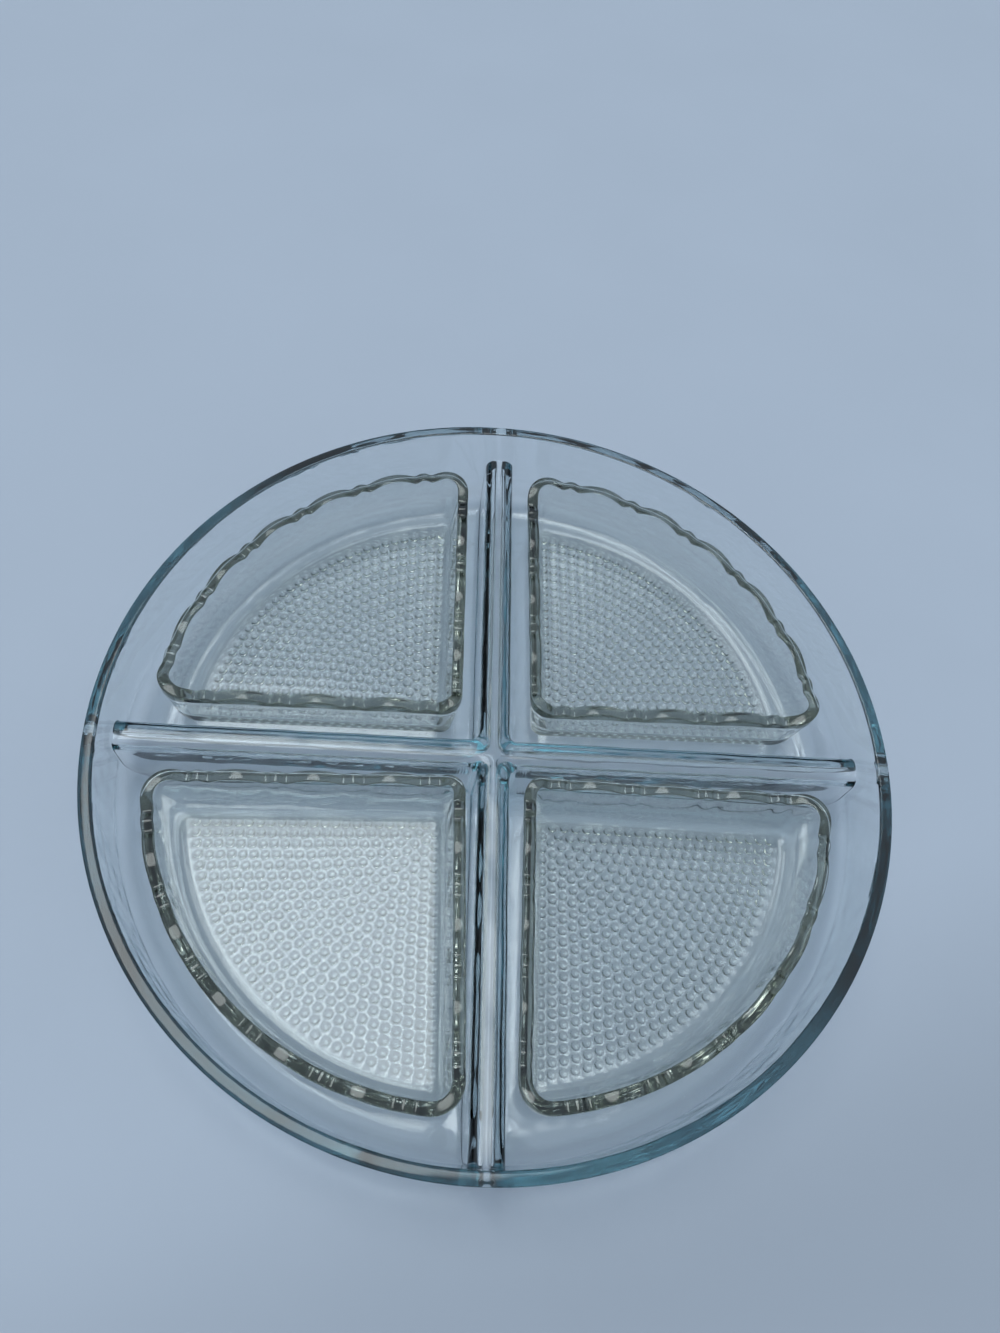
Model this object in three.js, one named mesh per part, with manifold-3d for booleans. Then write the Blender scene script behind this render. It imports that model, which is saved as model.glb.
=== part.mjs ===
// Round pressed-glass serving tray with four loose quarter-round dishes.
// Millimetres, +Z up. The origin is under the middle of the tray, and its two ridges lie along X and Y.

import * as THREE from 'three';
import { mergeVertices } from 'three/addons/utils/BufferGeometryUtils.js';
import Module from 'manifold-3d';

const wasm = await Module();
wasm.setup();

// Most of a rim's thickness that the round of one edge may take
const MOST_ROUND = 0.45;

// Tray
const TRAY_DIAMETER = 305;
const TRAY_HEIGHT = 47;
const TRAY_WALL = 5.6;
const TRAY_FLOOR = 5;
const TRAY_RIM_ROUND = 2.4;
const TRAY_WALL_LEAN = 1.5;
const TRAY_SWEEP = 12;
const TRAY_SIDES = 72;
const TRAY_ARC_STEPS = 2;

// Ridges that divide the tray into four compartments
const RIDGE_BELOW_RIM = 16;
const RIDGE_CREST_RADIUS = 6.2;
const RIDGE_DRAFT = THREE.MathUtils.degToRad(3);
const RIDGE_FOOT_FILLET = 8;
const RIDGE_ARC_STEPS = 6;

// Hollows under the ridges, which run out through the wall and leave the ridges about as thick as the floor
const RIDGE_CREST_GLASS = 3.8;
const HOLLOW_RADIUS = 2.5;
const HOLLOW_DRAFT = THREE.MathUtils.degToRad(6);
const HOLLOW_EDGE = 1.5;
const HOLLOW_ARC_STEPS = 4;

// Dishes: plan
const DISH_TO_RIDGE_FOOT = 0.96;
const DISH_TO_SWEEP = 7.2;
const DISH_ARC_CENTRE = 10.6;
const DISH_INNER_CORNER = 8;
const DISH_OUTER_CORNER = 11;
const LEAST_CORNER = 3;

// Dishes: section, with heights above the dish's own underside
const DISH_HEIGHT = 31.8;
const DISH_RIM = 4.2;
const DISH_RIM_ROUND = 1.2;
const DISH_LIP = 0.9;
const DISH_LIP_DEPTH = 1.8;
const DISH_BASE_INSET = 3.2;
const DISH_BASE_ROUND = 2.5;
const DISH_ARC_ROUND = 8;
const DISH_FLOOR = 5.1;
const DISH_WALL = 4.2;
const DISH_FLOOR_FILLET = 4;
const DISH_ARC_FILLET = 5.5;
const DISH_SEAT_GAP = 0.3;

// Scallops of the dish rims: long arches, with a small bump between two notches where they meet
const NOTCH_DEPTH = 3.3;
const BUMP_DROP = 1.3;
const BUMP_WIDTH = 7;
const ARCH_PITCH = 29.2;
const INNER_CORNER_REACH = 11.3;
const OUTER_CORNER_REACH = 17;
const ARCH_STEPS = 3;
const CORNER_STEPS = 4;

// How each loose dish sits in its compartment: its quarter, its shift along its two sides and its turn
const DISH_SEATS = [
  { name: 'dish_back_right', quarter: 0, shift: [0.5, 3.1], turn: 0.7 },
  { name: 'dish_back_left', quarter: 1, shift: [1.2, 1.4], turn: 0.4 },
  { name: 'dish_front_left', quarter: 2, shift: [-3.2, 1.5], turn: 1.8 },
  { name: 'dish_front_right', quarter: 3, shift: [-0.2, -2.1], turn: -1 },
];

// Sizes that follow from the ones above
const TRAY_RADIUS = TRAY_DIAMETER / 2;
const WALL_RADIUS = TRAY_RADIUS - TRAY_WALL;
const SWEEP_CENTRE = WALL_RADIUS - TRAY_WALL_LEAN - TRAY_SWEEP;
const SWEEP_TOP = TRAY_FLOOR + TRAY_SWEEP;
const WALL_FOOT = Math.min(TRAY_FLOOR, TRAY_WALL);
const RIDGE_HEIGHT = TRAY_HEIGHT - RIDGE_BELOW_RIM - TRAY_FLOOR;
const RIDGE = ridgeSection();
const DISH_SIDE = RIDGE.foot + DISH_TO_RIDGE_FOOT - DISH_BASE_INSET;
const DISH_ARC_FOOT = DISH_BASE_INSET + DISH_ARC_ROUND;
const DISH_ARC_RADIUS = SWEEP_CENTRE - DISH_TO_SWEEP + DISH_ARC_FOOT - DISH_ARC_CENTRE * Math.SQRT2;
const DISH_MIDDLE = (DISH_SIDE + DISH_ARC_CENTRE + DISH_ARC_RADIUS) / 2;
const DISH_SEAT_HEIGHT = TRAY_FLOOR + DISH_SEAT_GAP;

const trayGlass = new THREE.MeshStandardMaterial({
  name: 'tray_glass', color: 0xc3d8dc, roughness: 0.04, metalness: 0, transparent: true, opacity: 0.35,
});
const dishGlass = new THREE.MeshStandardMaterial({
  name: 'dish_glass', color: 0xc9cec4, roughness: 0.05, metalness: 0, transparent: true, opacity: 0.35,
});

// Joins geometry into one solid body
function toSolid(geometry) {
  const bare = geometry.clone();
  for (const name of Object.keys(bare.attributes)) {
    if (name !== 'position') bare.deleteAttribute(name);
  }
  const merged = mergeVertices(bare, 1e-4);
  const index = merged.index.array;
  const kept = [];
  for (let i = 0; i < index.length; i += 3) {
    const [a, b, c] = index.subarray(i, i + 3);
    if (a !== b && b !== c && c !== a) kept.push(a, b, c);
  }
  return new wasm.Manifold(new wasm.Mesh({
    numProp: 3,
    vertProperties: new Float32Array(merged.attributes.position.array),
    triVerts: new Uint32Array(kept),
  }));
}

function toGeometry(solid) {
  const mesh = solid.getMesh();
  const geometry = new THREE.BufferGeometry();
  geometry.setAttribute('position', new THREE.BufferAttribute(mesh.vertProperties, 3));
  geometry.setIndex(new THREE.BufferAttribute(mesh.triVerts, 1));
  geometry.computeVertexNormals();
  return geometry;
}

// Skins closed rings of equally many points, and closes both ends with a fan
function loft(rings) {
  const count = rings[0].length;
  const points = rings.flat();
  const triangles = [];
  for (let r = 0; r + 1 < rings.length; r++) {
    for (let i = 0; i < count; i++) {
      const a = r * count + i;
      const b = r * count + (i + 1) % count;
      triangles.push(a, b, b + count, a, b + count, a + count);
    }
  }
  for (const [ring, first, inward] of [[rings[0], 0, true], [rings.at(-1), points.length - count, false]]) {
    const middle = ring.reduce((sum, p) => sum.add(p), new THREE.Vector3()).divideScalar(count);
    points.push(middle);
    for (let i = 0; i < count; i++) {
      const a = first + i;
      const b = first + (i + 1) % count;
      triangles.push(points.length - 1, inward ? b : a, inward ? a : b);
    }
  }
  const geometry = new THREE.BufferGeometry().setFromPoints(points);
  geometry.setIndex(triangles);
  geometry.computeVertexNormals();
  return geometry;
}

// Half of a ridge's section: a round crest, flanks with draft and a fillet onto the floor
function ridgeSection() {
  const crest = { x: 0, y: RIDGE_HEIGHT - RIDGE_CREST_RADIUS };
  const top = {
    x: RIDGE_CREST_RADIUS * Math.cos(RIDGE_DRAFT),
    y: crest.y + RIDGE_CREST_RADIUS * Math.sin(RIDGE_DRAFT),
  };
  const fillet = Math.min(RIDGE_FOOT_FILLET, crest.y / 2);
  const flankX = top.x + (top.y - fillet) * Math.tan(RIDGE_DRAFT);
  return { crest, fillet, foot: flankX + fillet / Math.cos(RIDGE_DRAFT) };
}

function ridgeShape() {
  const { crest, fillet, foot } = RIDGE;
  const sunk = -TRAY_FLOOR / 2;
  const shape = new THREE.Shape();
  shape.moveTo(foot, sunk);
  shape.lineTo(foot, 0);
  shape.absarc(foot, fillet, fillet, -Math.PI / 2, Math.PI + RIDGE_DRAFT, true);
  shape.absarc(crest.x, crest.y, RIDGE_CREST_RADIUS, RIDGE_DRAFT, Math.PI - RIDGE_DRAFT, false);
  shape.absarc(-foot, fillet, fillet, -RIDGE_DRAFT, -Math.PI / 2, true);
  shape.lineTo(-foot, sunk);
  return shape;
}

// The section of the hollow under a ridge: a round top, flanks with draft and edges that open out below
function hollowShape() {
  const radius = Math.min(HOLLOW_RADIUS, RIDGE_CREST_RADIUS / 2);
  const middle = TRAY_FLOOR + RIDGE_HEIGHT - RIDGE_CREST_GLASS - radius;
  const side = radius / Math.cos(HOLLOW_DRAFT);
  const flank = (height) => side + (middle - height) * Math.tan(HOLLOW_DRAFT);
  const below = -TRAY_FLOOR;
  const shape = new THREE.Shape();
  shape.moveTo(flank(0) + HOLLOW_EDGE, below);
  shape.lineTo(flank(0) + HOLLOW_EDGE, 0);
  shape.lineTo(flank(HOLLOW_EDGE), HOLLOW_EDGE);
  shape.absarc(0, middle, radius, HOLLOW_DRAFT, Math.PI - HOLLOW_DRAFT, false);
  shape.lineTo(-flank(HOLLOW_EDGE), HOLLOW_EDGE);
  shape.lineTo(-flank(0) - HOLLOW_EDGE, 0);
  shape.lineTo(-flank(0) - HOLLOW_EDGE, below);
  return shape;
}

// A bar of the given section along Y
function bar(shape, length, arcSteps) {
  const geometry = new THREE.ExtrudeGeometry(shape, {
    depth: length, steps: 1, curveSegments: arcSteps, bevelEnabled: false,
  });
  geometry.translate(0, 0, -length / 2);
  geometry.rotateX(Math.PI / 2);
  return geometry;
}

// Two equal bars that cross in the middle of the tray
function cross(geometry) {
  return toSolid(geometry).add(toSolid(geometry.clone().rotateZ(Math.PI / 2)));
}

// The round body of the tray, from the middle of its underside over the rim to the middle of its floor
function trayBody() {
  const round = Math.min(TRAY_RIM_ROUND, TRAY_WALL * MOST_ROUND);
  const rimTop = TRAY_HEIGHT - round;
  const path = new THREE.Path();
  path.moveTo(0, 0);
  path.lineTo(SWEEP_CENTRE, 0);
  path.absellipse(SWEEP_CENTRE, SWEEP_TOP, TRAY_SWEEP + WALL_FOOT, SWEEP_TOP, -Math.PI / 2, 0, false);
  path.lineTo(TRAY_RADIUS, rimTop);
  path.absarc(TRAY_RADIUS - round, rimTop, round, 0, Math.PI / 2, false);
  path.lineTo(WALL_RADIUS + round, TRAY_HEIGHT);
  path.absarc(WALL_RADIUS + round, rimTop, round, Math.PI / 2, Math.PI, false);
  path.lineTo(WALL_RADIUS - TRAY_WALL_LEAN, SWEEP_TOP);
  path.absarc(SWEEP_CENTRE, SWEEP_TOP, TRAY_SWEEP, 0, -Math.PI / 2, true);
  path.lineTo(0, TRAY_FLOOR);
  const geometry = new THREE.LatheGeometry(path.getPoints(TRAY_ARC_STEPS), TRAY_SIDES);
  geometry.rotateX(Math.PI / 2);
  return geometry;
}

// The tray's inside, grown half way into the glass, so that the ridges run into its floor and wall
function trayInside() {
  const bite = WALL_FOOT / 2;
  const path = new THREE.Path();
  path.moveTo(0, TRAY_FLOOR - bite);
  path.lineTo(SWEEP_CENTRE, TRAY_FLOOR - bite);
  path.absarc(SWEEP_CENTRE, SWEEP_TOP, TRAY_SWEEP + bite, -Math.PI / 2, 0, false);
  path.lineTo(WALL_RADIUS + bite, TRAY_HEIGHT);
  path.lineTo(0, TRAY_HEIGHT);
  const geometry = new THREE.LatheGeometry(path.getPoints(TRAY_ARC_STEPS), TRAY_SIDES);
  geometry.rotateX(Math.PI / 2);
  return geometry;
}

function tray() {
  const ridges = cross(bar(ridgeShape(), TRAY_DIAMETER, RIDGE_ARC_STEPS).translate(0, 0, TRAY_FLOOR));
  const hollows = cross(bar(hollowShape(), 2 * TRAY_DIAMETER, HOLLOW_ARC_STEPS));
  const divided = toSolid(trayBody()).add(ridges.intersect(toSolid(trayInside())));
  return toGeometry(divided.subtract(hollows));
}

// The dish's plan at given insets from its rim's outer edge: two straight sides, an arc and three round corners
function dishPlan(inset, arcInset) {
  const side = DISH_SIDE + inset;
  const arc = DISH_ARC_RADIUS - arcInset;
  const inner = Math.max(DISH_INNER_CORNER - inset, LEAST_CORNER);
  const outer = Math.max(DISH_OUTER_CORNER - inset, LEAST_CORNER);
  const reach = side + outer - DISH_ARC_CENTRE;
  const cornerX = DISH_ARC_CENTRE + Math.sqrt((arc - outer) ** 2 - reach ** 2);
  const arcStart = Math.atan2(reach, cornerX - DISH_ARC_CENTRE);
  return { side, arc, inner, outer, cornerX, cornerY: side + outer, arcStart };
}

// Points on the plan, by stretch and by share of that stretch
const STRETCHES = {
  firstSide: (plan, t) => [THREE.MathUtils.lerp(plan.side + plan.inner, plan.cornerX, t), plan.side],
  firstCorner: (plan, t) => {
    const angle = THREE.MathUtils.lerp(-Math.PI / 2, plan.arcStart, t);
    return [plan.cornerX + plan.outer * Math.cos(angle), plan.cornerY + plan.outer * Math.sin(angle)];
  },
  curve: (plan, t) => {
    const angle = THREE.MathUtils.lerp(plan.arcStart, Math.PI / 2 - plan.arcStart, t);
    return [DISH_ARC_CENTRE + plan.arc * Math.cos(angle), DISH_ARC_CENTRE + plan.arc * Math.sin(angle)];
  },
  secondCorner: (plan, t) => STRETCHES.firstCorner(plan, 1 - t).reverse(),
  secondSide: (plan, t) => STRETCHES.firstSide(plan, 1 - t).reverse(),
  innerCorner: (plan, t) => {
    const angle = Math.PI + t * Math.PI / 2;
    const middle = plan.side + plan.inner;
    return [middle + plan.inner * Math.cos(angle), middle + plan.inner * Math.sin(angle)];
  },
};

// Stations along a stretch that starts and ends with a bump: [stretch, share, drop below the arches' tops]
function scallops(stretch, length, first, last) {
  const stations = [];
  const arches = Math.max(1, Math.round((last - first) / ARCH_PITCH));
  const pitch = (last - first) / arches;
  const arch = pitch - BUMP_WIDTH;
  for (let k = 0; k <= arches; k++) {
    const bump = first + k * pitch;
    stations.push([stretch, (bump - BUMP_WIDTH / 2) / length, NOTCH_DEPTH]);
    stations.push([stretch, bump / length, BUMP_DROP]);
    stations.push([stretch, (bump + BUMP_WIDTH / 2) / length, NOTCH_DEPTH]);
    for (let s = 1; s < ARCH_STEPS && k < arches; s++) {
      const share = s / ARCH_STEPS;
      const place = bump + BUMP_WIDTH / 2 + share * arch;
      stations.push([stretch, place / length, NOTCH_DEPTH * (1 - 4 * share * (1 - share))]);
    }
  }
  return stations;
}

function cornerStations(stretch) {
  return Array.from({ length: CORNER_STEPS }, (_, s) => [stretch, s / (CORNER_STEPS - 1), 0]);
}

function rimStations() {
  const plan = dishPlan(DISH_RIM / 2, DISH_RIM / 2);
  const sideLength = plan.cornerX - plan.side - plan.inner;
  const sideFirst = Math.max(INNER_CORNER_REACH - plan.inner, BUMP_WIDTH / 2);
  const curveFirst = Math.max(OUTER_CORNER_REACH - plan.outer, BUMP_WIDTH / 2);
  const sideLast = sideLength - curveFirst;
  const curveLength = plan.arc * (Math.PI / 2 - 2 * plan.arcStart);
  return [
    ...scallops('firstSide', sideLength, sideFirst, sideLast),
    ...cornerStations('firstCorner'),
    ...scallops('curve', curveLength, curveFirst, curveLength - curveFirst),
    ...cornerStations('secondCorner'),
    ...scallops('secondSide', sideLength, sideLength - sideLast, sideLength - sideFirst),
    ...cornerStations('innerCorner'),
  ];
}

// How far a round of a given radius sets a wall back at a height above the round's foot
function setBack(radius, height) {
  const below = Math.max(radius - height, 0);
  return radius - Math.sqrt(radius ** 2 - below ** 2);
}

// A dish about its own middle, from the edge of its underside up the outside, over the rim and down to its floor
function dish() {
  const stations = rimStations();
  const lipFoot = DISH_HEIGHT - NOTCH_DEPTH - DISH_LIP_DEPTH;
  const rimRound = Math.min(DISH_RIM_ROUND, DISH_RIM * MOST_ROUND);
  const wallFoot = DISH_BASE_INSET + DISH_WALL;
  const quarterArc = 1 - Math.SQRT1_2;
  const outside = (height) => {
    const lean = THREE.MathUtils.lerp(DISH_BASE_INSET, DISH_LIP, height / (lipFoot - DISH_LIP));
    const inset = lean + setBack(DISH_BASE_ROUND, height);
    return { inset, arcInset: lean + setBack(DISH_ARC_ROUND, height), height };
  };
  const inside = (rise) => {
    const inset = wallFoot + setBack(DISH_FLOOR_FILLET, rise);
    return { inset, arcInset: wallFoot + setBack(DISH_ARC_FILLET, rise), height: DISH_FLOOR + rise };
  };
  const section = [
    ...[0, DISH_BASE_ROUND * quarterArc, DISH_BASE_ROUND, DISH_ARC_ROUND].map(outside),
    { inset: DISH_LIP, height: lipFoot - DISH_LIP },
    { inset: 0, height: lipFoot },
    { inset: 0, height: DISH_HEIGHT - rimRound, scalloped: true },
    { inset: rimRound, height: DISH_HEIGHT, scalloped: true },
    { inset: DISH_RIM - rimRound, height: DISH_HEIGHT, scalloped: true },
    { inset: DISH_RIM, height: DISH_HEIGHT - rimRound, scalloped: true },
    ...[DISH_ARC_FILLET, DISH_FLOOR_FILLET, DISH_FLOOR_FILLET * quarterArc, 0].map(inside),
  ];
  const rings = section.map(({ inset, arcInset = inset, height, scalloped }) => {
    const plan = dishPlan(inset, arcInset);
    return stations.map(([stretch, share, drop]) => {
      const [x, y] = STRETCHES[stretch](plan, share);
      return new THREE.Vector3(x - DISH_MIDDLE, y - DISH_MIDDLE, height - (scalloped ? drop : 0));
    });
  });
  return loft(rings);
}

const set = new THREE.Group();

const trayMesh = new THREE.Mesh(tray(), trayGlass);
trayMesh.name = 'tray';
set.add(trayMesh);

for (const { name, quarter, shift, turn } of DISH_SEATS) {
  const compartment = new THREE.Group();
  compartment.rotation.z = quarter * Math.PI / 2;
  const mesh = new THREE.Mesh(dish(), dishGlass);
  mesh.name = name;
  mesh.position.set(DISH_MIDDLE + shift[0], DISH_MIDDLE + shift[1], DISH_SEAT_HEIGHT);
  mesh.rotation.z = THREE.MathUtils.degToRad(turn);
  compartment.add(mesh);
  set.add(compartment);
}

export default set;
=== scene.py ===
"""A round pressed-glass relish tray with four loose scalloped dishes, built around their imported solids."""

import math

import bpy
import numpy as np
from bpy.props import FloatProperty, FloatVectorProperty, PointerProperty
from mathutils import Matrix, Vector
from mathutils.geometry import delaunay_2d_cdt


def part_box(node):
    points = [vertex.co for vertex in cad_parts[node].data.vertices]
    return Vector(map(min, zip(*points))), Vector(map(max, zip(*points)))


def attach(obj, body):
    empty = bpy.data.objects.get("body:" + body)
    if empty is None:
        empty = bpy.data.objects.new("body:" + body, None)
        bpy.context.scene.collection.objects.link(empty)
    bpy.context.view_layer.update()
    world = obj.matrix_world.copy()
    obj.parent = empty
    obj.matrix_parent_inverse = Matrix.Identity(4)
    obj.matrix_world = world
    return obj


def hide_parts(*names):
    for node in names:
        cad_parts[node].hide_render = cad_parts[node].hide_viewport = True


bl_info = {
    "name": "Pressed-glass relish set",
    "version": (1, 0, 0),
    "blender": (4, 5, 0),
    "location": "3D View > Sidebar > Relish set",
    "description": "Builds a divided glass tray and its four scalloped dishes around their packed solids",
    "category": "Object",
}

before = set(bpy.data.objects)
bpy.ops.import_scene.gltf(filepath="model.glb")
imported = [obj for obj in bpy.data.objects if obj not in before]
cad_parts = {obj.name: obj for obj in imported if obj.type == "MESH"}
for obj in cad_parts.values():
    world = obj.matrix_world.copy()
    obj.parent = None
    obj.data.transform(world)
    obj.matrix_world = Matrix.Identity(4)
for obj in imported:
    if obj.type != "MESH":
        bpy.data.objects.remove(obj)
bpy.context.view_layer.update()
TRAY_LOW, TRAY_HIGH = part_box("tray")
DISH_LOW, DISH_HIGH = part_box("dish_back_right")

# Bounces of light: stacked glass needs many
GLASS_BOUNCES = 48
GLOSS_BOUNCES = 16
TABLE_BOUNCES = 8

# Glass: its bending of light, the faint film on it, and its slow waves as scale and height
GLASS_INDEX = 1.52
FILM_SCALE = 55.0
FILM_DETAIL = 4.0
FILM_FROM = 0.35
FILM_TO = 0.8
FILM_HAZE = 0.02
FILM_COLOUR = (0.992, 0.995, 0.995, 1.0)
WAVE_STRENGTH = 0.35
TRAY_WAVES = (70.0, 0.0006)
DISH_WAVES = (110.0, 0.0003)

# Table: its half width, its level just under the tray, its paint and the painted shadow that darkens it
# towards its front right
TABLE_HALF = 12.0
TABLE_LEVEL = -0.0004
TABLE_ROUGHNESS = 0.55
TABLE_GLOSS = 0.2
MOTTLE_SCALE = 9.0
MOTTLE_DETAIL = 6.0
MOTTLE = 0.04
# Direction in which the painted shadow on the table deepens
PAINTED_SHADOW_DIRECTION = (0.35, -0.94, 0.0)

# Camera: the width of its sensor in millimetres, its nearest sight and the point that it looks at
SENSOR_WIDTH = 36.0
NEAREST_SIGHT = 0.01
CAMERA_AIM = (0.00316, 0.04851, 0.012)

# How each loose dish sits in its compartment: node, quarter, shift along its two sides and turn in degrees
DISH_SEATS = (
    ("dish_back_right", 0, (0.0005, 0.0031), 0.7),
    ("dish_back_left", 1, (0.0012, 0.0014), 0.4),
    ("dish_front_left", 2, (-0.0032, 0.0015), 1.8),
    ("dish_front_right", 3, (-0.0002, -0.0021), -1.0),
)

# Grid lines of the tray: their distances from a ridge's axis, and where they start to fan out
CREST_LINES = np.linspace(0.0, 0.0023, 9)
HOLLOW_LINES = np.linspace(0.0025, 0.0042, 13)
SHOULDER_LINES = np.linspace(0.0045, 0.0057, 6)
FLANK_LINES = np.linspace(0.0059, 0.0076, 13)
FOOT_LINES = np.linspace(0.0081, 0.0126, 8)
RIDGE_LINES = np.concatenate((CREST_LINES, HOLLOW_LINES, SHOULDER_LINES, FLANK_LINES, FOOT_LINES))
FAN_RADIUS = 0.0195
OPEN_STEPS = 20

# Rings of the tray's mesh, and how often the search for a height is halved
FIRST_RING = 0.0006
CROSS_RINGS = 46
FLOOR_RINGS = 30
SWEEP_RINGS = 24
WALL_RINGS = 22
OUTER_WALL_RINGS = 30
UNDERSIDE_RINGS = 60
INSIDE_HALVINGS = 44
OUTSIDE_HALVINGS = 40

# Heights are searched up to this many times the tray's own
SEARCH_SHARE = 1.5

# Slow waves in the tray's glass: their runs along X and Y, where they start, and their share
RIPPLES = ((251.0, 117.0, 0.0, 1.0), (-141.0, 287.0, 2.1, 1.0), (433.0, 389.0, 0.7, 0.6))

# Rims: steps over them, and a power that is higher for a flatter crown
TRAY_RIM_STEPS = 16
TRAY_RIM_POWER = 4.0
DISH_RIM_STEPS = 15
DISH_RIM_POWER = 4.5

# Rings of each dish's mesh, and the shape of the arches in its rim
DISH_POINTS = 440
DISH_ROUND_RINGS = 8
DISH_WALL_RINGS = 7
DISH_LIP_RINGS = 6
DISH_FLOOR_RINGS = 7
LEAST_RISE = 0.00008
SCALLOP_FADE = 1.6
ARCH_POWER = 2.0
CORNER_ARCH_POWER = 3.0

# Dots: rings as shares of their radius, sides, the turn from ring to ring and the seed of their stray
DOT_RINGS = (1.0, 0.975, 0.9, 0.75, 0.45)
DOT_SIDES = 12
DOT_RING_TURN = 0.26
DOT_SEED = 7

# How the underside's triangles are laid: inside its edge only, and points closer than this are one
TRIANGLES_INSIDE = 1
SAME_POINT = 1e-7


def length(name, description, default):
    return FloatProperty(name=name, description=description, default=default, unit="LENGTH", precision=4)


def angle(name, description, degrees):
    return FloatProperty(name=name, description=description, default=math.radians(degrees), subtype="ANGLE")


def tint(name, description, default):
    return FloatVectorProperty(
        name=name, description=description, default=default, subtype="COLOR", size=3, min=0.0, max=1.0
    )


def amount(name, description, default):
    return FloatProperty(name=name, description=description, default=default, min=0.0)


class TraySizes(bpy.types.PropertyGroup):
    """Sizes of the divided tray"""

    diameter: length("Diameter", "Across the rim", TRAY_HIGH.x - TRAY_LOW.x)
    height: length("Height", "From the underside to the top of the rim", TRAY_HIGH.z - TRAY_LOW.z)
    wall: length("Wall", "Thickness of the wall at the rim", 0.0048)
    floor: length("Floor", "Thickness of the floor", 0.005)
    rim_round: length("Rim round", "Height of the rim's rounded crown", 0.0014)
    wall_lean: length("Wall lean", "How far the wall's inside leans out over its height", 0.0023)
    sweep: length("Sweep", "Radius between the floor and the wall", 0.012)
    ridge_below_rim: length("Ridge below rim", "How far the ridges' crests lie below the rim", 0.016)
    crest_half: length("Crest half", "Half the width of the ridges' crests", 0.0062)
    shoulder: length("Shoulder", "Radius of the ridges' shoulders", 0.0045)
    draft: angle("Draft", "Lean of the ridges' flanks", 3.0)
    foot_fillet: length("Foot fillet", "Fillet between the ridges and the floor", 0.002)
    end_fillet: length("End fillet", "Fillet between the ridges' ends and the sweep", 0.001)
    end_reach: length("End reach", "How far from the wall the ridges' fillet starts to narrow", 0.03)
    crest_wall: length("Crest wall", "Thickness of the glass at the ridges' crests", 0.0038)
    hollow_radius: length("Hollow radius", "Radius of the hollows' rounded tops under the ridges", 0.0025)
    hollow_draft: angle("Hollow draft", "Lean of the hollows' flanks", 6.0)
    hollow_edge: length("Hollow edge", "Rounding between the hollows and the underside", 0.003)
    tip_fillet: length("Tip fillet", "Fillet between the ridges and the wall", 0.0006)
    cross_fillet: length("Cross fillet", "Fillet in the four corners where the ridges cross", 0.004)
    ripple: length("Ripple", "Depth of the waves that pressing leaves in the glass", 0.00005)


class DishSizes(bpy.types.PropertyGroup):
    """Sizes of the four dishes"""

    height: length("Height", "From the dots' tips to the arches' tops", DISH_HIGH.z - DISH_LOW.z)
    seat: length("Seat", "Height of the tips of the dots above the table", DISH_LOW.z)
    side: length("Side", "From a ridge's axis to the outside of the rim's straight side", 0.0126)
    arc_middle: length("Arc middle", "From both ridge axes to the middle of the rim's arc", 0.0106)
    arc_radius: length("Arc radius", "Radius of the rim's arc", 0.12241)
    inner_corner: length("Inner corner", "Radius of the corner next to the cross", 0.008)
    outer_corner: length("Outer corner", "Radius of the two corners next to the wall", 0.011)
    least_corner: length("Least corner", "Smallest radius of a corner inside the rim's outline", 0.003)
    rim: length("Rim", "Thickness of the rim", 0.0046)
    rim_round: length("Rim round", "Height of the rim's rounded crown", 0.001)
    lip: length("Lip", "How far the lip stands out over the wall", 0.0002)
    lip_depth: length("Lip depth", "From the notches down to the lip's lower edge", 0.0018)
    base_inset: length("Base inset", "How far the wall's foot lies inside the rim", 0.0032)
    base_round: length("Base round", "Radius between the straight walls and the underside", 0.004)
    arc_round: length("Arc round", "Radius between the curved wall and the underside", 0.008)
    wall: length("Wall", "Thickness of the wall at its foot", 0.0042)
    floor: length("Floor", "From the tips of the dots to the floor's upper face", 0.0051)
    floor_fillet: length("Floor fillet", "Radius inside between the straight walls and the floor", 0.004)
    arc_fillet: length("Arc fillet", "Radius inside between the curved wall and the floor", 0.0055)
    notch_depth: length("Notch depth", "Depth of the notches below the arches", 0.0033)
    bump_drop: length("Bump drop", "How far the small bumps lie below the arches", 0.0013)
    bump_width: length("Bump width", "Width of the small bumps", 0.007)
    arch_pitch: length("Arch pitch", "Distance from bump to bump", 0.0292)
    inner_reach: length("Inner reach", "From the inner corner's middle to the nearest bump", 0.0113)
    outer_reach: length("Outer reach", "From an outer corner's middle to the nearest bump", 0.017)
    dot_radius: length("Dot radius", "Radius of the dots", 0.0019)
    dot_height: length("Dot height", "Height of the dots", 0.0009)
    dot_rows: length("Dot rows", "Distance between the arcs of dots", 0.00412)
    dot_step: length("Dot step", "Distance between the dots along an arc", 0.0045)
    dot_inset: length("Dot inset", "From the rim's straight sides to the nearest dots' middles", 0.0104)
    dot_arc_inset: length("Dot arc inset", "From the rim's arc to the outermost dots' middles", 0.0153)
    dot_stray: length("Dot stray", "How far a dot strays from its place", 0.00012)


class GlassLooks(bpy.types.PropertyGroup):
    """Tints and surface of the glass"""

    tray_tint: tint("Tray tint", "Light that passes through the tray's glass", (0.43, 0.64, 0.69))
    dish_tint: tint("Dish tint", "Light that passes through the dishes' glass", (0.6, 0.63, 0.58))
    tray_depth: amount("Tray depth", "Strength of the tray's tint, per metre", 22.0)
    dish_depth: amount("Dish depth", "Strength of the dishes' tint, per metre", 66.0)


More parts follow.
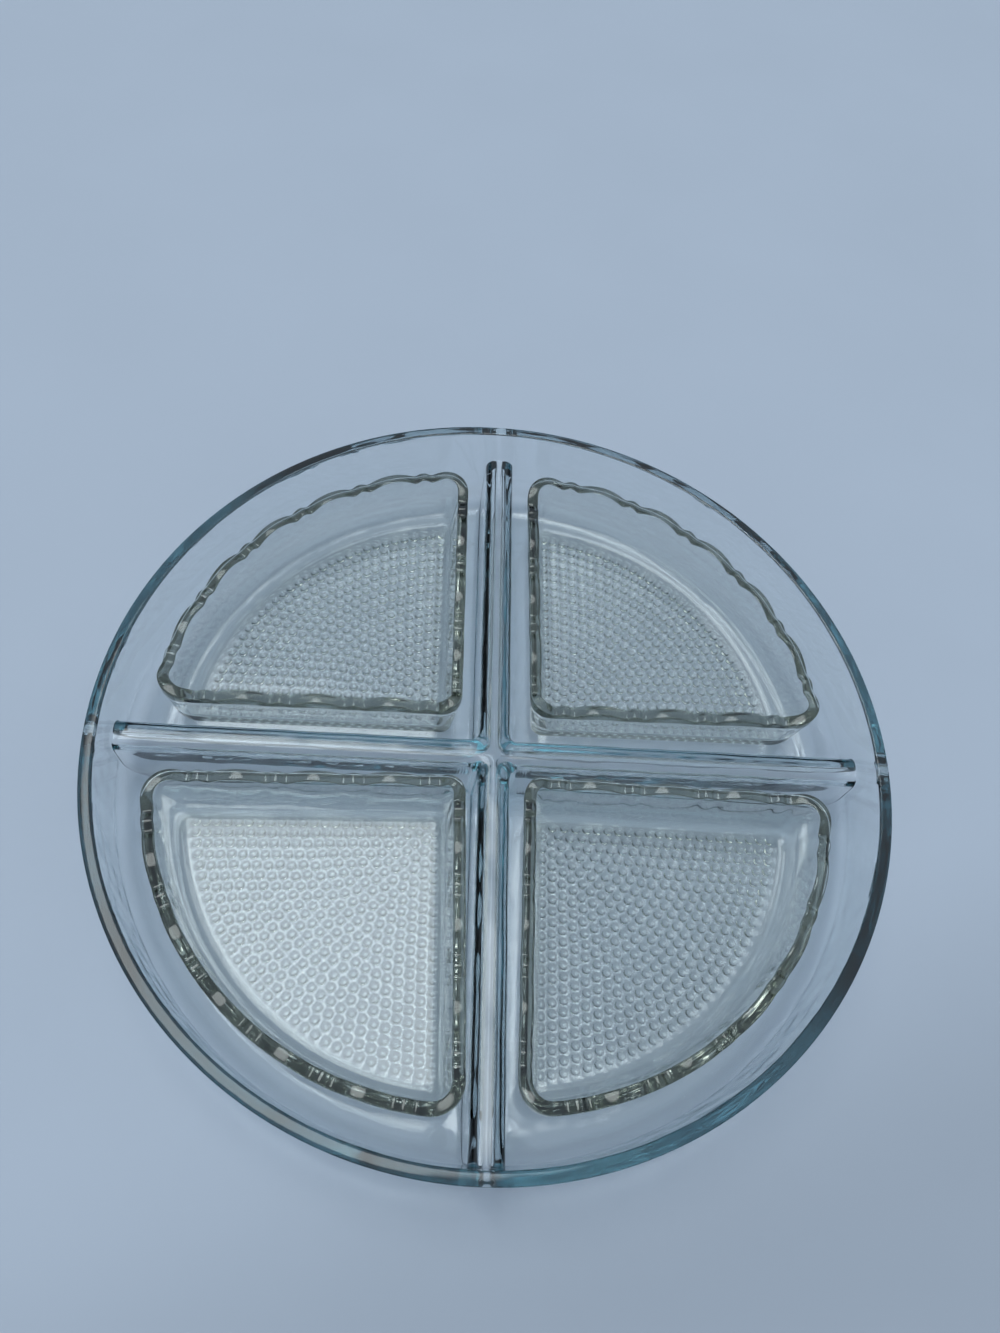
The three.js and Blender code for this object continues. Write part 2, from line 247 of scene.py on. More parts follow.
class StageLooks(bpy.types.PropertyGroup):
    """Table, light and camera"""

    table_colour: tint("Table colour", "Colour of the pale table", (0.416, 0.444, 0.5))
    # Painted shadow on the table: the share of its colour kept at its front, and where that darkening starts
    # and ends
    painted_shadow_share: amount("Table shade", "Share of its colour that the table keeps at its front", 0.79)
    painted_shadow_start: length("Shade start", "From the tray's middle to where the table starts to darken", 0.08)
    painted_shadow_end: length("Shade end", "From the tray's middle to where the table is darkest", 0.2)
    air_high: tint("Air overhead", "Light from the air overhead", (0.68, 0.83, 0.98))
    air_low: tint("Air low", "Light from the dark surroundings near the horizon", (0.018, 0.028, 0.038))
    air_start: angle("Air start", "Elevation at which the surroundings grow paler", 11.5)
    air_end: angle("Air end", "Elevation from which the air is palest", 31.5)
    panel_colour: tint("Panel colour", "Colour of the bright panel overhead", (0.94, 1.0, 1.0))
    panel_strength: amount("Panel strength", "Brightness of the panel, where 1 is white", 4.2)
    panel_azimuth: angle("Panel azimuth", "Turn of the panel's middle around the tray", -139.4)
    panel_elevation: angle("Panel elevation", "Height of the panel's middle over the horizon", 76.7)
    panel_reach: angle("Panel reach", "Angle from the panel's middle to its edge", 12.0)
    panel_edge: angle("Panel edge", "Angle over which the panel's edge fades", 6.0)
    azimuth: angle("Azimuth", "Camera's turn around the tray", -9.05)
    elevation: angle("Elevation", "Camera's height over the horizon", 61.08)
    roll: angle("Roll", "Camera's tilt about its own line of sight", 11.25)
    distance: length("Distance", "From the camera to the point it looks at", 0.4333)
    lens: FloatProperty(name="Lens", description="Focal length, in millimetres", default=27.0, min=1.0)


class RelishSettings(bpy.types.PropertyGroup):
    """All settings of the relish set"""

    tray: PointerProperty(type=TraySizes)
    dish: PointerProperty(type=DishSizes)
    glass: PointerProperty(type=GlassLooks)
    stage: PointerProperty(type=StageLooks)


def soft_min(first, second, reach):
    """The smaller of two distances, rounded where they are less than reach apart."""
    near = np.maximum(reach - np.abs(first - second), 0.0) / reach
    return np.minimum(first, second) - near**2 * reach / 4


def find_level(low, high, is_below, halvings):
    """Levels at which is_below stops being true, found by halving."""
    for _ in range(halvings):
        level = (low + high) / 2
        below = is_below(level)
        low = np.where(below, level, low)
        high = np.where(below, high, level)
    return high


def ease(share):
    """A share from 0 to 1 that starts and ends slowly."""
    share = np.clip(share, 0.0, 1.0)
    return share * share * (3.0 - 2.0 * share)


def crown(middle, half_width, start, height, steps, power):
    """A rounded rim from its inside to its outside, flatter with a higher power: points across and up."""
    turn = np.linspace(0.0, math.pi, steps)
    flat = 2.0 / power
    across = middle - half_width * np.sign(np.cos(turn)) * np.abs(np.cos(turn)) ** flat
    return np.column_stack((across, start + height * np.sin(turn) ** flat))


def set_back(radius, height):
    """How far a round of a given radius sets a wall back at a height above the round's foot."""
    below = max(radius - height, 0.0)
    return radius - math.sqrt(radius**2 - below**2)


def ring_faces(rings, count):
    """Quads between closed rings of equally many points."""
    first = np.arange(rings - 1)[:, None] * count
    here = np.arange(count)[None, :]
    there = (here + 1) % count
    quads = np.stack((first + here, first + here + count, first + there + count, first + there), axis=-1)
    return quads.reshape(-1, 4)


def fan_faces(first, count, middle, turned):
    """Triangles from a closed ring to the point in its middle."""
    here = first + np.arange(count)
    there = first + (np.arange(count) + 1) % count
    ends = (there, here) if turned else (here, there)
    return np.column_stack((np.full(count, middle), *ends))


def glass_piece(name, points, faces, material, body):
    """A smooth glass mesh that stands for the node of its body."""
    mesh = bpy.data.meshes.new(name)
    mesh.from_pydata(points, [], faces)
    if mesh.validate():
        raise RuntimeError(f"{name} has faces that are not sound")
    mesh.shade_smooth()
    mesh.materials.append(material)
    piece = bpy.data.objects.new(name, mesh)
    bpy.context.scene.collection.objects.link(piece)
    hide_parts(body)
    return piece


class TrayForm:
    """The tray's inside and outside as heights over its plan, joined by its rim"""

    def __init__(self, sizes):
        self.sizes = sizes
        self.radius = sizes.diameter / 2
        self.wall_foot = self.radius - sizes.wall - sizes.wall_lean
        self.sweep_middle = self.wall_foot - sizes.sweep
        self.sweep_top = sizes.floor + sizes.sweep
        self.rim_start = sizes.height - sizes.rim_round
        self.lean = math.atan2(sizes.wall_lean, self.rim_start - self.sweep_top)
        self.crest = sizes.height - sizes.ridge_below_rim
        self.heel_top = self.wall_foot + sizes.floor
        self.heel_squash = self.sweep_top / (self.heel_top - self.sweep_middle)
        self.outer_lean = math.atan2(self.radius - self.heel_top, self.rim_start - self.sweep_top)

    def wall_gap(self, radius, level):
        """Distance from the floor, the sweep and the wall to a point inside the tray."""
        above = level - self.sweep_top
        wall = (self.wall_foot + above * math.tan(self.lean) - radius) * math.cos(self.lean)
        sweep = self.sizes.sweep - np.hypot(radius - self.sweep_middle, above)
        floor = level - self.sizes.floor
        low = np.where(radius > self.sweep_middle, sweep, floor)
        return np.where(above < 0.0, low, np.minimum(floor, wall))

    def ridge_gap(self, across, level, crest, radius, draft):
        """Distance from a ridge, which has a round crest on leaning flanks."""
        rise = level - crest + radius
        flank = across * math.cos(draft) + rise * math.sin(draft)
        over = rise * math.cos(draft) - across * math.sin(draft) > 0.0
        return np.where(over, np.hypot(across, rise), flank) - radius

    def ripple(self, x, y):
        """Slow waves in the glass."""
        waves = np.zeros_like(x)
        for run_x, run_y, start, share in RIPPLES:
            waves += share * np.sin(run_x * x + run_y * y + start)
        return self.sizes.ripple * waves

    def inner_height(self, x, y):
        """Height of the tray's inside over a point of its plan."""
        sizes = self.sizes
        across = np.maximum(soft_min(np.abs(x), np.abs(y), sizes.cross_fillet), 0.0)
        radius = np.hypot(x, y)
        ripple = self.ripple(x, y)
        beside = np.maximum(across - sizes.crest_half + sizes.shoulder, 0.0)
        near_end = ease((radius - self.wall_foot + sizes.end_reach) / sizes.end_reach)
        foot = sizes.foot_fillet + (sizes.end_fillet - sizes.foot_fillet) * near_end

        def in_glass(level):
            share = ease((level - sizes.floor - foot) / foot)
            reach = foot + (sizes.tip_fillet - foot) * share
            ridge = self.ridge_gap(beside, level, self.crest, sizes.shoulder, sizes.draft)
            return soft_min(self.wall_gap(radius, level), ridge, reach) + ripple < 0.0

        high = np.full_like(x, sizes.height * SEARCH_SHARE)
        return find_level(np.zeros_like(x), high, in_glass, INSIDE_HALVINGS)

    def outer_gap(self, radius, level):
        """Distance from the underside, the heel and the wall's outside to a point in the glass."""
        above = level - self.sweep_top
        wall = (self.heel_top + above * math.tan(self.outer_lean) - radius) * math.cos(self.outer_lean)
        heel = self.sweep_top - np.hypot((radius - self.sweep_middle) * self.heel_squash, above)
        low = np.where(radius > self.sweep_middle, heel, level)
        return np.where(above < 0.0, low, wall)

    def outer_height(self, x, y):
        """Height of the tray's outside, from the underside with its hollows up to the rim."""
        sizes = self.sizes
        across = np.maximum(soft_min(np.abs(x), np.abs(y), sizes.cross_fillet), 0.0)
        radius = np.hypot(x, y)
        top = self.crest - sizes.crest_wall

        def in_air(level):
            hollow = self.ridge_gap(across, level, top, sizes.hollow_radius, sizes.hollow_draft)
            return soft_min(self.outer_gap(radius, level), hollow, sizes.hollow_edge) < 0.0

        high = np.full_like(x, self.rim_start)
        return find_level(np.zeros_like(x), high, in_air, OUTSIDE_HALVINGS)

    def ring_turns(self, radius):
        """Where the grid's lines cross a circle: parallel near the ridges, and fanned out between them."""
        near = np.arcsin(RIDGE_LINES / max(radius, FAN_RADIUS))
        fanned = np.linspace(near[-1], math.pi / 4, OPEN_STEPS + 1)[1:]
        eighth = np.concatenate((near, fanned))
        quarter = np.concatenate((eighth, math.pi / 2 - eighth[-2:0:-1]))
        return np.concatenate([quarter + k * math.pi / 2 for k in range(4)])

    def inside_radii(self):
        """Radii from the middle over the floor and up the sweep and the wall."""
        cross = np.linspace(FIRST_RING, FAN_RADIUS, CROSS_RINGS)
        floor = np.linspace(FAN_RADIUS, self.sweep_middle, FLOOR_RINGS)[1:-1]
        turn = np.linspace(0.0, math.pi / 2, SWEEP_RINGS)[:-1]
        sweep = self.sweep_middle + self.sizes.sweep * np.sin(turn)
        levels = np.linspace(self.sweep_top, self.rim_start, WALL_RINGS)
        wall = self.wall_foot + (levels - self.sweep_top) * math.tan(self.lean)
        return np.concatenate((cross, floor, sweep, wall))

    def rim_profile(self):
        """Radius and height over the rim, from its inside to its outside."""
        half = self.sizes.wall / 2
        middle = self.radius - half
        height = self.sizes.rim_round
        return crown(middle, half, self.rim_start, height, TRAY_RIM_STEPS, TRAY_RIM_POWER)[1:]

    def outside_radii(self):
        """Radii from the rim's outside down the wall and the heel and in under the floor."""
        wall = np.linspace(self.radius, self.heel_top, OUTER_WALL_RINGS)[1:-1]
        turn = np.linspace(0.0, math.pi / 2, SWEEP_RINGS)
        heel = self.sweep_middle + (self.heel_top - self.sweep_middle) * np.cos(turn)
        floor = np.linspace(self.sweep_middle, FAN_RADIUS, UNDERSIDE_RINGS)[1:-1]
        cross = np.linspace(FAN_RADIUS, FIRST_RING, CROSS_RINGS)
        return np.concatenate((wall, heel, floor, cross))

    def ring(self, radius, height):
        """Points of the grid on one circle, with their levels from a function of x and y."""
        turns = self.ring_turns(radius)
        x = radius * np.cos(turns)
        y = radius * np.sin(turns)
        return np.column_stack((x, y, height(x, y)))

    def mesh(self):
        """Points and faces, from the middle of the inside over the rim to the middle of the underside."""
        rings = [self.ring(radius, self.inner_height) for radius in self.inside_radii()]
        for radius, level in self.rim_profile():
            rings.append(self.ring(radius, lambda x, y: np.full_like(x, level)))
        rings += [self.ring(radius, self.outer_height) for radius in self.outside_radii()]
        count = len(rings[0])
        inner_middle = self.inner_height(np.zeros(1), np.zeros(1))[0]
        under_middle = self.outer_height(np.zeros(1), np.zeros(1))[0]
        points = np.concatenate((*rings, [[0.0, 0.0, inner_middle], [0.0, 0.0, under_middle]]))
        last = (len(rings) - 1) * count
        top = fan_faces(0, count, len(points) - 2, False)
        under = fan_faces(last, count, len(points) - 1, True)
        faces = ring_faces(len(rings), count).tolist() + top.tolist() + under.tolist()
        return points.tolist(), faces


class DishForm:
    """A quarter-round dish with a scalloped rim and a dotted underside, in its compartment's axes"""

    STRETCHES = ("first_side", "first_corner", "curve", "second_corner", "second_side", "inner_corner")

    def __init__(self, sizes):
        self.sizes = sizes
        self.middle = (sizes.side + sizes.arc_middle + sizes.arc_radius) / 2
        plan = self.plan(sizes.rim / 2, sizes.rim / 2)
        side = plan["corner_x"] - plan["side"] - plan["inner"]
        corner = plan["outer"] * (plan["start"] + math.pi / 2)
        curve = plan["arc"] * (math.pi / 2 - 2 * plan["start"])
        self.lengths = (side, corner, curve, corner, side, plan["inner"] * math.pi / 2)
        self.starts = np.concatenate(([0.0], np.cumsum(self.lengths)))
        self.places = np.arange(DISH_POINTS) * self.starts[-1] / DISH_POINTS
        self.drops = self.rim_drops(plan)

    def plan(self, inset, arc_inset):
        """The outline at insets from the rim's sides and arc: its sides, its arc and its corners."""
        sizes = self.sizes
        side = sizes.side + inset
        arc = sizes.arc_radius - arc_inset
        inner = max(sizes.inner_corner - inset, sizes.least_corner)
        outer = max(sizes.outer_corner - inset, sizes.least_corner)
        rise = side + outer - sizes.arc_middle
        run = math.sqrt((arc - outer) ** 2 - rise**2)
        return {
            "side": side,
            "arc": arc,
            "inner": inner,
            "outer": outer,
            "corner_x": sizes.arc_middle + run,
            "corner_y": side + outer,
            "start": math.atan2(rise, run),
        }

    def stretch_points(self, plan, stretch, share):
        """Points on one stretch of an outline, by their share of it."""
        if stretch.startswith("second"):
            return self.stretch_points(plan, stretch.replace("second", "first"), 1.0 - share)[:, ::-1]
        if stretch == "first_side":
            start = plan["side"] + plan["inner"]
            x = start + share * (plan["corner_x"] - start)
            return np.column_stack((x, np.full_like(x, plan["side"])))
        if stretch == "first_corner":
            turn = -math.pi / 2 + share * (plan["start"] + math.pi / 2)
            middle, radius = (plan["corner_x"], plan["corner_y"]), plan["outer"]
        elif stretch == "curve":
            turn = plan["start"] + share * (math.pi / 2 - 2 * plan["start"])
            middle, radius = (self.sizes.arc_middle, self.sizes.arc_middle), plan["arc"]
        else:
            turn = math.pi + share * math.pi / 2
            middle, radius = (plan["side"] + plan["inner"],) * 2, plan["inner"]
        return np.column_stack((middle[0] + radius * np.cos(turn), middle[1] + radius * np.sin(turn)))

    def outline(self, inset, arc_inset):
        """One closed ring of points at insets from the rim's sides and from its arc."""
        plan = self.plan(inset, arc_inset)
        found = []
        for k, stretch in enumerate(self.STRETCHES):
            inside = (self.places >= self.starts[k]) & (self.places < self.starts[k + 1])
            share = (self.places[inside] - self.starts[k]) / self.lengths[k]
            found.append(self.stretch_points(plan, stretch, share))
        return np.concatenate(found) - self.middle

    def bumps(self, plan):
        """Places of the small bumps around the rim, in order."""
        sizes = self.sizes
        near = max(sizes.inner_reach - plan["inner"], sizes.bump_width / 2)
        far = max(sizes.outer_reach - plan["outer"], sizes.bump_width / 2)
        side, curve = self.lengths[0], self.lengths[2]
        spans = ((0, near, side - far), (2, far, curve - far), (4, far, side - near))
        found = []
        for stretch, first, last in spans:
            arches = max(1, round((last - first) / sizes.arch_pitch))
            found.extend(self.starts[stretch] + np.linspace(first, last, arches + 1))
        return np.array(found)

    def rim_drops(self, plan):
        """How far the rim lies below the arches' tops at each point around it."""
        sizes = self.sizes
        around = self.starts[-1]
        half = sizes.bump_width / 2
        bumps = self.bumps(plan)
        drops = np.zeros(DISH_POINTS)
        for k, bump in enumerate(bumps):
            off = (self.places - bump + around / 2) % around - around / 2
            on_bump = np.abs(off) <= half
            rise = (sizes.notch_depth - sizes.bump_drop) * (1.0 - (off / half) ** 2)
            drops = np.where(on_bump, sizes.notch_depth - rise, drops)
            span = (bumps[(k + 1) % len(bumps)] - bump) % around - sizes.bump_width
            past = (self.places - bump - half) % around
            on_arch = past < span
            power = CORNER_ARCH_POWER if span > sizes.arch_pitch else ARCH_POWER
            drops = np.where(on_arch, sizes.notch_depth * np.abs(2 * past / span - 1) ** power, drops)
        soft = np.zeros(DISH_POINTS)
        for shift, weight in ((-1, 0.25), (0, 0.5), (1, 0.25)):
            soft += weight * np.roll(drops, shift)
        return soft

    def section(self):
        """Rows from the underside to the floor: two insets, a height and the share of the scallops."""
        sizes = self.sizes
        lip_foot = sizes.height - sizes.notch_depth - sizes.lip_depth
        rim_start = sizes.height - sizes.rim_round
        wall_end = lip_foot - sizes.lip - sizes.dot_height
        rows = []
        for rise in self.levels(sizes.base_round, sizes.arc_round, wall_end):
            lean = sizes.base_inset + rise / wall_end * (sizes.lip - sizes.base_inset)
            inset = lean + set_back(sizes.base_round, rise)
            rows.append((inset, lean + set_back(sizes.arc_round, rise), sizes.dot_height + rise, 0.0))
        for share in np.linspace(0.0, 1.0, DISH_LIP_RINGS)[1:]:
            inset = sizes.lip * (1.0 - ease(share))
            rows.append((inset, inset, lip_foot - sizes.lip * (1.0 - share), 0.0))
        for share in (0.25, 0.5, 0.75):
            rows.append((0.0, 0.0, lip_foot + share * (rim_start - lip_foot), share))
        half = sizes.rim / 2
        for x, z in crown(half, half, rim_start, sizes.rim_round, DISH_RIM_STEPS, DISH_RIM_POWER):
            rows.append((x, x, z, 1.0))
        wall_foot = sizes.base_inset + sizes.wall
        wall_height = rim_start - sizes.floor
        for rise in self.levels(sizes.floor_fillet, sizes.arc_fillet, wall_height)[-2::-1]:
            lean = wall_foot + rise / wall_height * (sizes.rim - wall_foot)
            inset = lean + set_back(sizes.floor_fillet, rise)
            scallop = 1.0 - ease(SCALLOP_FADE * (1.0 - rise / wall_height))
            rows.append((inset, lean + set_back(sizes.arc_fillet, rise), sizes.floor + rise, scallop))
        return rows

    def levels(self, round_one, round_two, top):
        """Heights for the rings of a wall: close together in the two rounds at its foot."""
        turn = np.linspace(0.0, math.pi / 2, DISH_ROUND_RINGS)
        rounds = np.concatenate([radius * (1.0 - np.cos(turn)) for radius in (round_one, round_two)])
        wall = np.linspace(max(round_one, round_two), top, DISH_WALL_RINGS)
        rises = np.unique(np.round(np.concatenate((rounds, wall)), 6))
        return rises[np.concatenate(([True], np.diff(rises) > LEAST_RISE))]

    def dot_middles(self):
        """Middles of the dots, in arcs about the middle of the rim's arc."""
        sizes = self.sizes
        edge = sizes.side + sizes.dot_inset - sizes.arc_middle
        stray = np.random.RandomState(DOT_SEED)
        found = []
        radius = sizes.arc_radius - sizes.dot_arc_inset
        while radius > edge * math.sqrt(2):
            start = math.asin(edge / radius)
            span = math.pi / 2 - 2 * start
            steps = round(radius * span / sizes.dot_step)
            turns = np.linspace(start, start + span, steps + 1) if steps else np.array([math.pi / 4])
            arc = sizes.arc_middle + radius * np.column_stack((np.cos(turns), np.sin(turns)))
            found.append(arc + sizes.dot_stray * stray.uniform(-1.0, 1.0, arc.shape))
            radius -= sizes.dot_rows
        return np.concatenate(found) - self.middle

    def underside(self, edge):
        """Triangles of the dotted underside inside an edge, with the points that they add to it."""
        sizes = self.sizes
        ball = (sizes.dot_radius**2 + sizes.dot_height**2) / (2 * sizes.dot_height)
        plan_points = [edge]
        heights = [np.full(len(edge), sizes.dot_height)]
        middles = self.dot_middles()
        for k, share in enumerate((*DOT_RINGS, 0.0)):
            reach = share * sizes.dot_radius
            turns = np.arange(DOT_SIDES if share else 1) * math.tau / DOT_SIDES + k * DOT_RING_TURN
            ring = reach * np.column_stack((np.cos(turns), np.sin(turns)))
            plan_points.append((middles[:, None, :] + ring[None]).reshape(-1, 2))
            level = ball - math.sqrt(ball**2 - reach**2)
            heights.append(np.full(len(plan_points[-1]), level))
        flat = np.concatenate(plan_points)
        levels = np.concatenate(heights)
        rim = [list(range(len(edge)))]
        places = [Vector(point) for point in flat]
        out = delaunay_2d_cdt(places, [], rim, TRIANGLES_INSIDE, SAME_POINT)
        source = [found[0] for found in out[3]]
        points = np.column_stack((flat, levels))[len(edge):]
        return points, [[source[v] for v in reversed(face)] for face in out[2]]

    def mesh(self):
        """Points and faces of the walls, the rim and the floor, and of the dotted underside."""
        rings = []
        for inset, arc_inset, level, scallop in self.section():
            ring = self.outline(inset, arc_inset)
            rings.append(np.column_stack((ring, level - scallop * self.drops)))
        floor = rings[-1]
        centre = floor.mean(axis=0)
        for share in np.linspace(1.0, 0.0, DISH_FLOOR_RINGS)[1:-1]:
            rings.append(centre + share * (floor - centre))
        count = DISH_POINTS
        added, under = self.underside(rings[0][:, :2])
        loft = np.concatenate(rings)
        first_added = len(loft)
        points = np.concatenate((loft, added, [centre]))
        shift = first_added - count
        under = [[v if v < count else v + shift for v in face] for face in under]
        quads = ring_faces(len(rings), count)[:, ::-1].tolist()
        top = fan_faces(first_added - count, count, len(points) - 1, False).tolist()
        return points.tolist(), quads + under + top


def glass_material(name, tint_colour, depth, waviness):
    """Clear pressed glass: a tint that grows with thickness, slow waves and a faint film on its surface."""
    material = bpy.data.materials.new(name)
    material.use_nodes = True
    nodes = material.node_tree.nodes
    links = material.node_tree.links
    shader = nodes["Principled BSDF"]
    shader.inputs["Transmission Weight"].default_value = 1.0
    shader.inputs["IOR"].default_value = GLASS_INDEX
    place = nodes.new("ShaderNodeTexCoord")
    film = nodes.new("ShaderNodeTexNoise")
    film.inputs["Scale"].default_value = FILM_SCALE
    film.inputs["Detail"].default_value = FILM_DETAIL
    links.new(place.outputs["Object"], film.inputs["Vector"])
    haze = nodes.new("ShaderNodeMapRange")
    haze.inputs["From Min"].default_value = FILM_FROM
    haze.inputs["From Max"].default_value = FILM_TO
    haze.inputs["To Min"].default_value = 0.0
    haze.inputs["To Max"].default_value = FILM_HAZE
    links.new(film.outputs["Fac"], haze.inputs["Value"])
    links.new(haze.outputs["Result"], shader.inputs["Roughness"])
    clear = nodes.new("ShaderNodeMix")
    clear.data_type = "RGBA"
    clear.inputs["A"].default_value = (1.0, 1.0, 1.0, 1.0)
    clear.inputs["B"].default_value = FILM_COLOUR
    links.new(film.outputs["Fac"], clear.inputs["Factor"])
    links.new(clear.outputs["Result"], shader.inputs["Base Color"])
    waves = nodes.new("ShaderNodeTexNoise")
    waves.inputs["Scale"].default_value = waviness[0]
    waves.inputs["Detail"].default_value = 1.0
    links.new(place.outputs["Object"], waves.inputs["Vector"])
    bump = nodes.new("ShaderNodeBump")
    bump.inputs["Strength"].default_value = WAVE_STRENGTH
    bump.inputs["Distance"].default_value = waviness[1]
    links.new(waves.outputs["Fac"], bump.inputs["Height"])
    links.new(bump.outputs["Normal"], shader.inputs["Normal"])
    absorb = nodes.new("ShaderNodeVolumeAbsorption")
    absorb.inputs["Color"].default_value = (*tint_colour, 1.0)
    absorb.inputs["Density"].default_value = depth
    links.new(absorb.outputs["Volume"], nodes["Material Output"].inputs["Volume"])
    return material


def table_material(looks):
    """A pale painted table with faint mottling, and a painted shadow that makes it a little darker towards
    its front.
    """
    colour = looks.table_colour
    material = bpy.data.materials.new("pale_table")
    material.use_nodes = True
    nodes = material.node_tree.nodes
    links = material.node_tree.links
    shader = nodes["Principled BSDF"]
    shader.inputs["Roughness"].default_value = TABLE_ROUGHNESS
    shader.inputs["Specular IOR Level"].default_value = TABLE_GLOSS
    place = nodes.new("ShaderNodeTexCoord")
    mottle = nodes.new("ShaderNodeTexNoise")
    mottle.inputs["Scale"].default_value = MOTTLE_SCALE
    mottle.inputs["Detail"].default_value = MOTTLE_DETAIL
    links.new(place.outputs["Object"], mottle.inputs["Vector"])
    mix = nodes.new("ShaderNodeMix")
    mix.data_type = "RGBA"
    mix.inputs["A"].default_value = (*[(1.0 - MOTTLE) * c for c in colour], 1.0)
    mix.inputs["B"].default_value = (*[(1.0 + MOTTLE) * c for c in colour], 1.0)
    links.new(mottle.outputs["Fac"], mix.inputs["Factor"])
    # Painted shadow: the table's colour is scaled down towards its front right, standing in for a soft
    # shadow that falls there
    forward = nodes.new("ShaderNodeVectorMath")
    forward.operation = "DOT_PRODUCT"
    forward.inputs[1].default_value = PAINTED_SHADOW_DIRECTION
    links.new(place.outputs["Object"], forward.inputs[0])
    shade = nodes.new("ShaderNodeMapRange")
    shade.interpolation_type = "SMOOTHSTEP"
    shade.inputs["From Min"].default_value = looks.painted_shadow_start
    shade.inputs["From Max"].default_value = looks.painted_shadow_end
    shade.inputs["To Min"].default_value = 1.0
    shade.inputs["To Max"].default_value = looks.painted_shadow_share
    links.new(forward.outputs["Value"], shade.inputs["Value"])
    shaded = nodes.new("ShaderNodeVectorMath")
    shaded.operation = "SCALE"
    links.new(mix.outputs["Result"], shaded.inputs[0])
    links.new(shade.outputs["Result"], shaded.inputs["Scale"])
    links.new(shaded.outputs["Vector"], shader.inputs["Base Color"])
    return material


def sky(looks):
    """A plain soft studio: a bright panel overhead, pale air and dark surroundings near the horizon."""
    world = bpy.data.worlds.new("soft_studio")
    world.use_nodes = True
    nodes = world.node_tree.nodes
    links = world.node_tree.links
    place = nodes.new("ShaderNodeTexCoord")
    split = nodes.new("ShaderNodeSeparateXYZ")
    links.new(place.outputs["Generated"], split.inputs["Vector"])
    air = nodes.new("ShaderNodeValToRGB")
    air.color_ramp.interpolation = "EASE"
    air.color_ramp.elements[0].position = math.sin(looks.air_start)
    air.color_ramp.elements[0].color = (*looks.air_low, 1.0)
    air.color_ramp.elements[1].position = math.sin(looks.air_end)
    air.color_ramp.elements[1].color = (*looks.air_high, 1.0)
    links.new(split.outputs["Z"], air.inputs["Fac"])
    toward = nodes.new("ShaderNodeVectorMath")
    toward.operation = "DOT_PRODUCT"
    flat = math.cos(looks.panel_elevation)
    toward.inputs[1].default_value = (
        math.sin(looks.panel_azimuth) * flat,
        -math.cos(looks.panel_azimuth) * flat,
        math.sin(looks.panel_elevation),
    )
    links.new(place.outputs["Generated"], toward.inputs[0])
    panel = nodes.new("ShaderNodeMapRange")
    panel.interpolation_type = "SMOOTHSTEP"
    panel.inputs["From Min"].default_value = math.cos(looks.panel_reach + looks.panel_edge)
    panel.inputs["From Max"].default_value = math.cos(looks.panel_reach)
    panel.inputs["To Max"].default_value = looks.panel_strength
    links.new(toward.outputs["Value"], panel.inputs["Value"])
    both = nodes.new("ShaderNodeMix")
    both.data_type = "RGBA"
    both.blend_type = "ADD"
    both.clamp_factor = False
    both.inputs["B"].default_value = (*looks.panel_colour, 1.0)
    links.new(panel.outputs["Result"], both.inputs["Factor"])
    links.new(air.outputs["Color"], both.inputs["A"])
    links.new(both.outputs["Result"], nodes["Background"].inputs["Color"])
    return world


class RELISH_OT_make_tray(bpy.types.Operator):
    """Makes the divided glass tray in place of its solid"""

    bl_idname = "relish.make_tray"
    bl_label = "Make tray"

    def execute(self, context):
        settings = context.scene.relish_set
        glass = settings.glass
        material = glass_material("tray_glass", glass.tray_tint, glass.tray_depth, TRAY_WAVES)
        points, faces = TrayForm(settings.tray).mesh()
        tray = glass_piece("relish_tray", points, faces, material, "tray")
        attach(tray, "tray")
        return {"FINISHED"}


class RELISH_OT_make_dishes(bpy.types.Operator):
    """Makes the four scalloped glass dishes in place of their solids"""

    bl_idname = "relish.make_dishes"
    bl_label = "Make dishes"

    def execute(self, context):
        settings = context.scene.relish_set
        glass = settings.glass
        material = glass_material("dish_glass", glass.dish_tint, glass.dish_depth, DISH_WAVES)
        form = DishForm(settings.dish)
        points, faces = form.mesh()
        for node, quarter, shift, turn in DISH_SEATS:
            dish = glass_piece("relish_" + node, points, faces, material, node)
            place = (form.middle + shift[0], form.middle + shift[1], settings.dish.seat)
            compartment = Matrix.Rotation(quarter * math.pi / 2, 4, "Z")
            own_turn = Matrix.Rotation(math.radians(turn), 4, "Z")
            dish.matrix_world = compartment @ Matrix.Translation(place) @ own_turn
            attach(dish, node)
        return {"FINISHED"}


